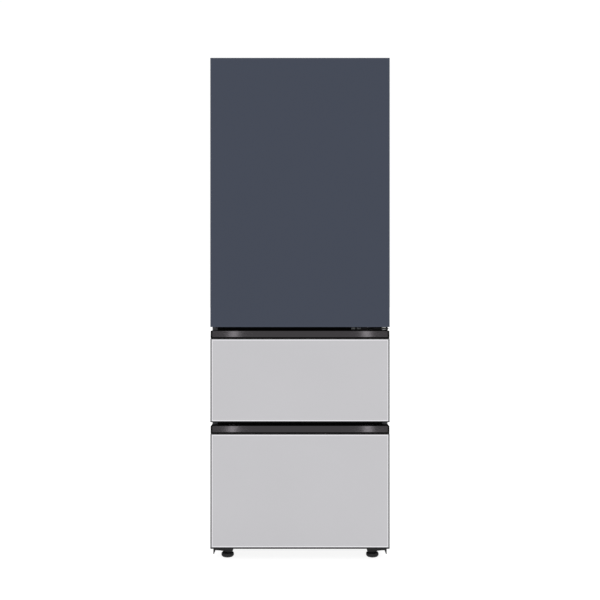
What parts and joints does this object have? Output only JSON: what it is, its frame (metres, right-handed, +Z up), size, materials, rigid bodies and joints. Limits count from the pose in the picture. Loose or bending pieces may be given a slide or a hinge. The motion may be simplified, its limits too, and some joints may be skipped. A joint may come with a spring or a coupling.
{
  "type": "kimchi refrigerator",
  "caption": "Tall free-standing kimchi refrigerator with a right-hinged upper door over pull-out drawers with recessed handle trims, on levelling feet and rear rollers.",
  "frame": {"origin": "middle of the footprint, on the floor", "axes": "+Z up, -Y out of the front face, +X to the right seen from the front"},
  "size_m": [0.664, 0.7, 1.86],
  "materials": {
    "navy_panel": "matte navy blue coated steel",
    "grey_panel": "matte light grey coated steel",
    "dark_trim": "dark brushed aluminium",
    "black_plastic": "black moulded plastic",
    "black_steel": "black coated steel",
    "cabinet_steel": "fine textured charcoal coated steel",
    "liner_white": "white vacuum-formed plastic",
    "button_grey": "grey plastic",
    "clear_plastic": "clear plastic",
    "shelf_glass": "tempered glass",
    "foam": "rigid insulation foam",
    "zinc_steel": "zinc-plated steel",
    "gasket_rubber": "soft vinyl seal",
    "compressor_black": "black enamelled steel shell",
    "fin_aluminium": "bare aluminium"
  },
  "bodies": {
    "cabinet": {"side_panel_left": "cabinet_steel", "side_panel_right": "cabinet_steel", "top_panel": "cabinet_steel", "back_panel": "cabinet_steel", "machine_cover": "cabinet_steel", "base_frame": "black_steel", "cabinet_foam": "foam", "upper_liner": "liner_white", "middle_liner": "liner_white", "lower_liner": "liner_white", "upper_mullion": "black_plastic", "lower_mullion": "black_plastic", "cord_gland": "gasket_rubber", "top_hinge": "zinc_steel", "top_hinge_cover": "black_plastic", "middle_hinge": "zinc_steel", "compressor": "compressor_black", "condenser": "fin_aluminium", "evaporation_tray": "black_plastic", "shelf_lower": "shelf_glass", "shelf_upper": "shelf_glass", "duct_cover": "liner_white", "evaporator": "fin_aluminium", "control_panel": "liner_white", "interior_lamp": "clear_plastic", "middle_rail_left": "zinc_steel", "middle_rail_right": "zinc_steel", "lower_rail_left": "zinc_steel", "lower_rail_right": "zinc_steel"},
    "door": {"door_panel": "navy_panel", "door_case": "black_plastic", "door_foam": "foam", "door_liner": "liner_white", "door_gasket": "gasket_rubber", "door_bin_lower": "clear_plastic", "door_bin_upper": "clear_plastic"},
    "middle_drawer": {"middle_drawer_panel": "grey_panel", "middle_drawer_case": "black_plastic", "middle_drawer_handle": "dark_trim", "middle_drawer_gasket": "gasket_rubber", "middle_drawer_frame": "zinc_steel", "middle_drawer_box": "liner_white"},
    "lower_drawer": {"lower_drawer_panel": "grey_panel", "lower_drawer_case": "black_plastic", "lower_drawer_handle": "dark_trim", "lower_drawer_gasket": "gasket_rubber", "lower_drawer_frame": "zinc_steel", "lower_drawer_box": "liner_white"},
    "middle_sliders": {"middle_slider_left": "zinc_steel", "middle_slider_right": "zinc_steel"},
    "lower_sliders": {"lower_slider_left": "zinc_steel", "lower_slider_right": "zinc_steel"},
    "front_leg_left": {"front_leg_left": "black_plastic"},
    "front_leg_right": {"front_leg_right": "black_plastic"},
    "rear_wheel_left": {"rear_wheel_left": "black_plastic"},
    "rear_wheel_right": {"rear_wheel_right": "black_plastic"},
    "condenser_fan": {"condenser_fan": "black_plastic"},
    "circulation_fan": {"circulation_fan": "liner_white"},
    "power_button": {"power_button": "button_grey"},
    "mode_button": {"mode_button": "button_grey"}
  },
  "joints": [
    {"name": "door_hinge", "type": "hinge", "parent": "cabinet", "child": "door", "pos_m": [0.312, -0.32, 0.865], "axis": [0, 0, 1], "range_deg": [0, 115]},
    {"name": "middle_drawer_slide", "type": "slide", "parent": "cabinet", "child": "middle_drawer", "axis": [0, -1, 0], "range_m": [0, 0.4]},
    {"name": "middle_slider_slide", "type": "slide", "parent": "cabinet", "child": "middle_sliders", "axis": [0, -1, 0], "range_m": [0, 0.2]},
    {"name": "lower_drawer_slide", "type": "slide", "parent": "cabinet", "child": "lower_drawer", "axis": [0, -1, 0], "range_m": [0, 0.4]},
    {"name": "lower_slider_slide", "type": "slide", "parent": "cabinet", "child": "lower_sliders", "axis": [0, -1, 0], "range_m": [0, 0.2]},
    {"name": "front_leg_left_turn", "type": "hinge", "parent": "cabinet", "child": "front_leg_left", "pos_m": [-0.272, -0.284, 0.02], "axis": [0, 0, 1], "continuous": true},
    {"name": "front_leg_right_turn", "type": "hinge", "parent": "cabinet", "child": "front_leg_right", "pos_m": [0.272, -0.284, 0.02], "axis": [0, 0, 1], "continuous": true},
    {"name": "rear_wheel_left_spin", "type": "hinge", "parent": "cabinet", "child": "rear_wheel_left", "pos_m": [-0.27, 0.273, 0.021], "axis": [1, 0, 0], "continuous": true},
    {"name": "rear_wheel_right_spin", "type": "hinge", "parent": "cabinet", "child": "rear_wheel_right", "pos_m": [0.27, 0.273, 0.021], "axis": [1, 0, 0], "continuous": true},
    {"name": "condenser_fan_spin", "type": "hinge", "parent": "cabinet", "child": "condenser_fan", "pos_m": [0.146, 0.234, 0.1213], "axis": [1, 0, 0], "continuous": true},
    {"name": "circulation_fan_spin", "type": "hinge", "parent": "cabinet", "child": "circulation_fan", "pos_m": [0, 0.232, 1.295], "axis": [0, 1, 0], "continuous": true},
    {"name": "power_button_press", "type": "slide", "parent": "cabinet", "child": "power_button", "axis": [0, 0, 1], "range_m": [0, 0.001], "stiffness_N_per_m": 500, "springref_m": -0.0005},
    {"name": "mode_button_press", "type": "slide", "parent": "cabinet", "child": "mode_button", "axis": [0, 0, 1], "range_m": [0, 0.001], "stiffness_N_per_m": 500, "springref_m": -0.0005}
  ],
  "couplings": [
    {"joint": "middle_slider_slide", "follows": "middle_drawer_slide", "ratio": 0.5},
    {"joint": "lower_slider_slide", "follows": "lower_drawer_slide", "ratio": 0.5}
  ]
}
